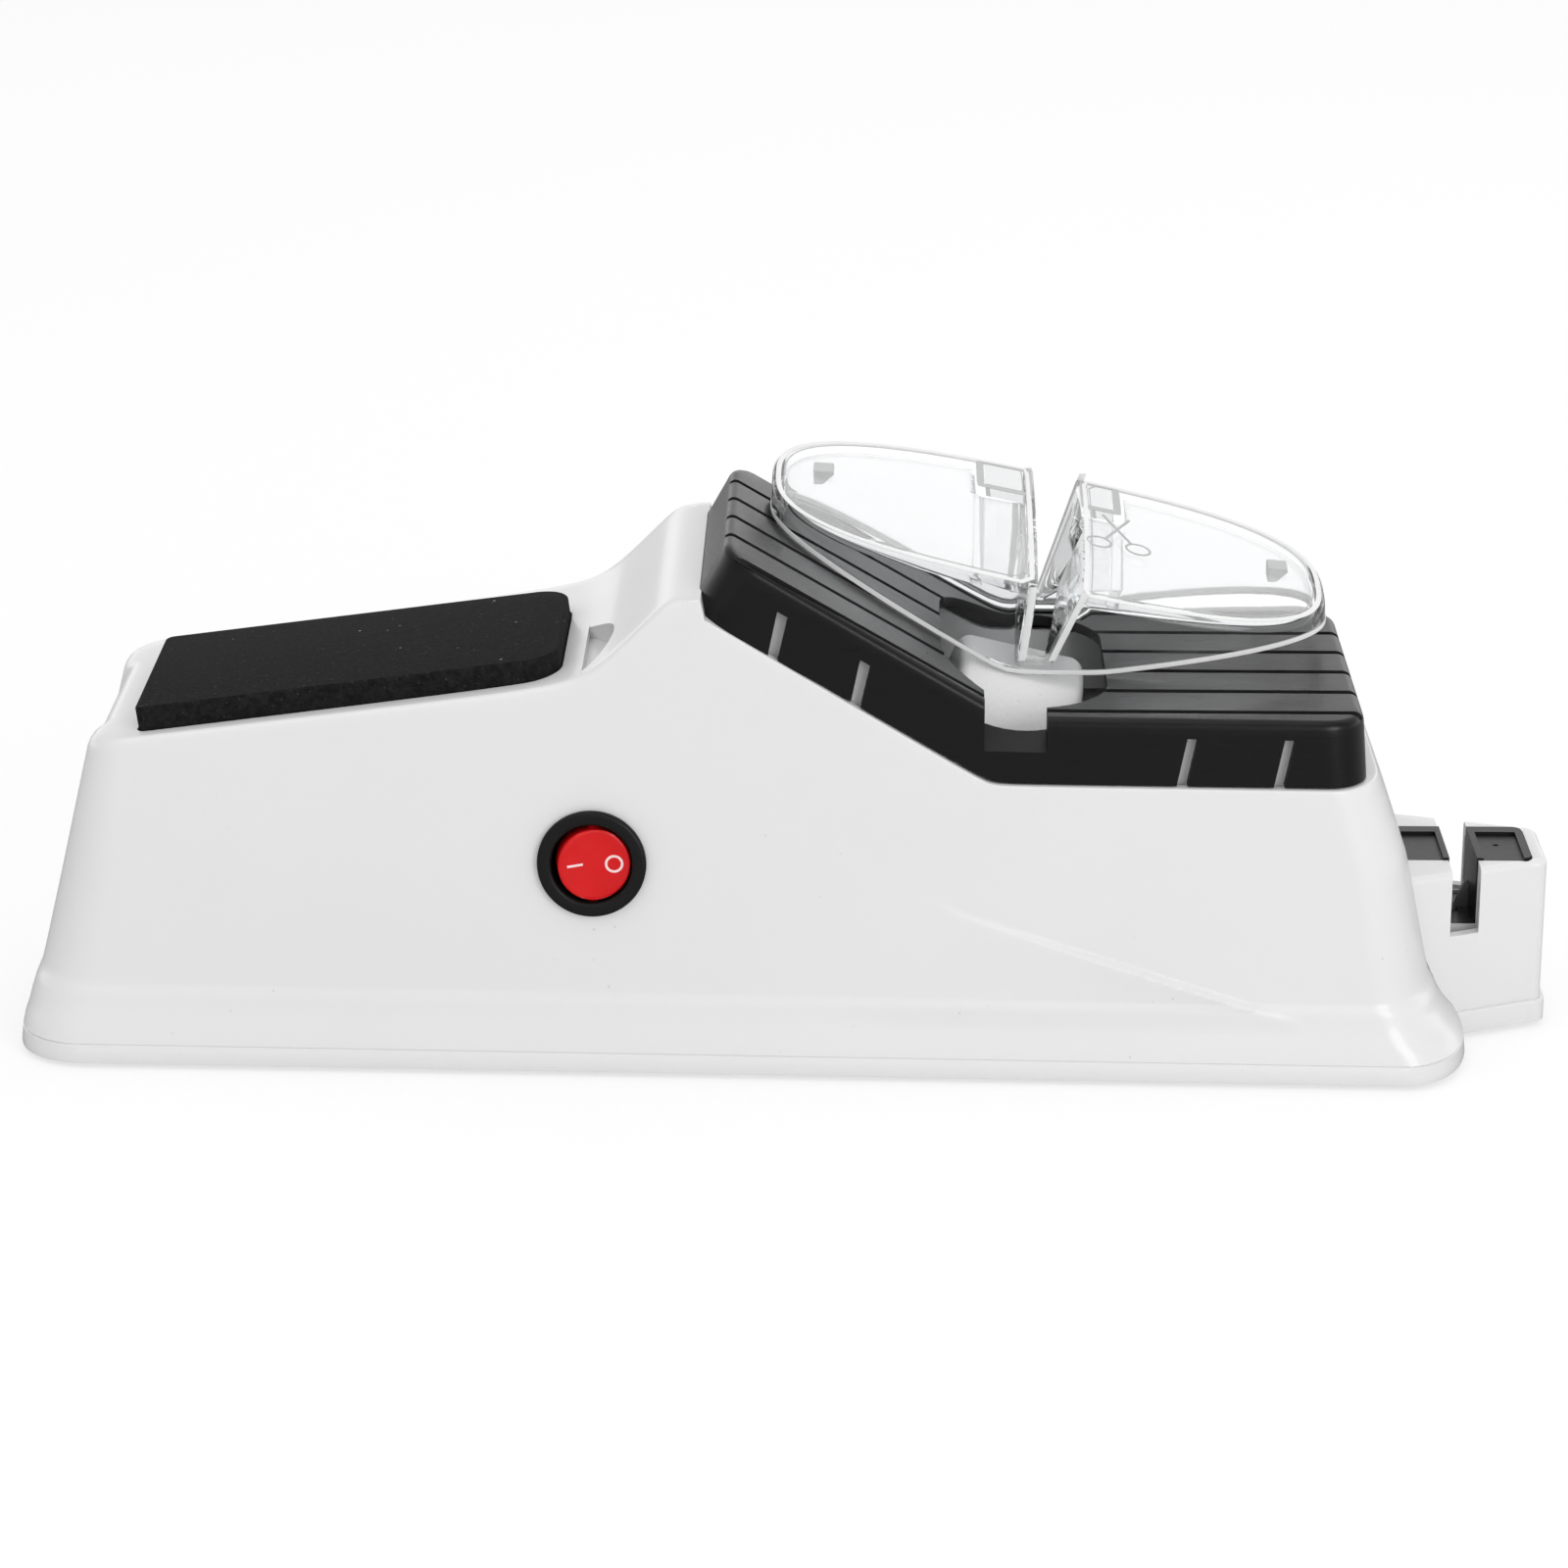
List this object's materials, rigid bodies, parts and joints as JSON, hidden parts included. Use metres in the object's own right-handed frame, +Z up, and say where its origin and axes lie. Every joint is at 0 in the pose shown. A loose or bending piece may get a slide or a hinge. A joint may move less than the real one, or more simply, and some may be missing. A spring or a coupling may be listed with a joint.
{
  "type": "electric knife sharpener",
  "caption": "Bench-top electric knife sharpener with a tilted grinding wheel under a clear slotted cover, a lift-out stone and a pull-through block.",
  "frame": {"origin": "on the surface that the feet stand on, below the centre of the whole object's box", "axes": "+X from the stone end to the pull-through block, +Y to the back, so the switch faces -Y, +Z up"},
  "size_m": [0.2664, 0.0794, 0.0969],
  "materials": {
    "white_plastic": "glossy white moulding",
    "black_plastic": "satin black moulding",
    "clear_plastic": "clear polished plastic",
    "white_ceramic": "matte bonded ceramic",
    "black_stone": "fine speckled grit",
    "red_plastic": "glossy red moulding",
    "steel": "plated steel",
    "brass": "turned brass",
    "rubber": "matte rubber",
    "board": "green board",
    "red_wire": "insulated wire",
    "black_wire": "insulated wire"
  },
  "bodies": {
    "housing": {"body_shell": "white_plastic", "base_plate": "white_plastic", "ribbed_cap": "black_plastic", "motor_can": "steel", "motor_end_cap": "black_plastic", "motor_bracket": "steel", "wheel_guard": "black_plastic", "switch_bezel": "black_plastic", "switch_spring": "steel", "power_jack": "black_plastic", "jack_nut": "steel", "circuit_board": "board", "board_fuse": "white_ceramic", "board_capacitor": "black_plastic", "stone_pad": "rubber", "pull_through_housing": "white_plastic", "pull_through_insert": "black_plastic", "rubber_foot_front_left": "rubber", "base_screw_front_left": "steel", "rubber_foot_back_left": "rubber", "base_screw_back_left": "steel", "rubber_foot_front_right": "rubber", "base_screw_front_right": "steel", "rubber_foot_back_right": "rubber", "base_screw_back_right": "steel", "motor_screw_front": "steel", "bracket_screw_front": "steel", "motor_lead_front": "red_wire", "housing_screw_front": "steel", "insert_blade_front": "steel", "motor_screw_back": "steel", "bracket_screw_back": "steel", "motor_lead_back": "red_wire", "housing_screw_back": "steel", "insert_blade_back": "steel", "switch_terminal_left": "brass", "board_screw_left": "steel", "jack_lead_left": "red_wire", "switch_lead_left": "black_wire", "switch_terminal_right": "brass", "board_screw_right": "steel", "jack_lead_right": "red_wire", "switch_lead_right": "black_wire"},
    "drive": {"grinding_wheel": "white_ceramic", "wheel_hub": "brass", "wheel_washer": "steel", "wheel_nut": "steel", "motor_shaft": "steel"},
    "rocker": {"switch_rocker": "red_plastic"},
    "cover": {"clear_cover": "clear_plastic"},
    "stone": {"sharpening_stone": "black_stone"}
  },
  "joints": [
    {"name": "wheel_spin", "type": "hinge", "parent": "housing", "child": "drive", "pos_m": [0.03583, 0, 0.0442], "axis": [0.9744, 0, -0.225], "continuous": true},
    {"name": "rocker_tilt", "type": "hinge", "parent": "housing", "child": "rocker", "pos_m": [-0.03302, -0.03049, 0.03771], "axis": [-0.0013, -0.0499, -0.9988], "range_deg": [0, 20]},
    {"name": "cover_lift", "type": "slide", "parent": "housing", "child": "cover", "axis": [0, 0, 1], "range_m": [0, 0.045]},
    {"name": "stone_lift", "type": "slide", "parent": "housing", "child": "stone", "axis": [-0.1321, 0, 0.9912], "range_m": [0, 0.03]}
  ]
}
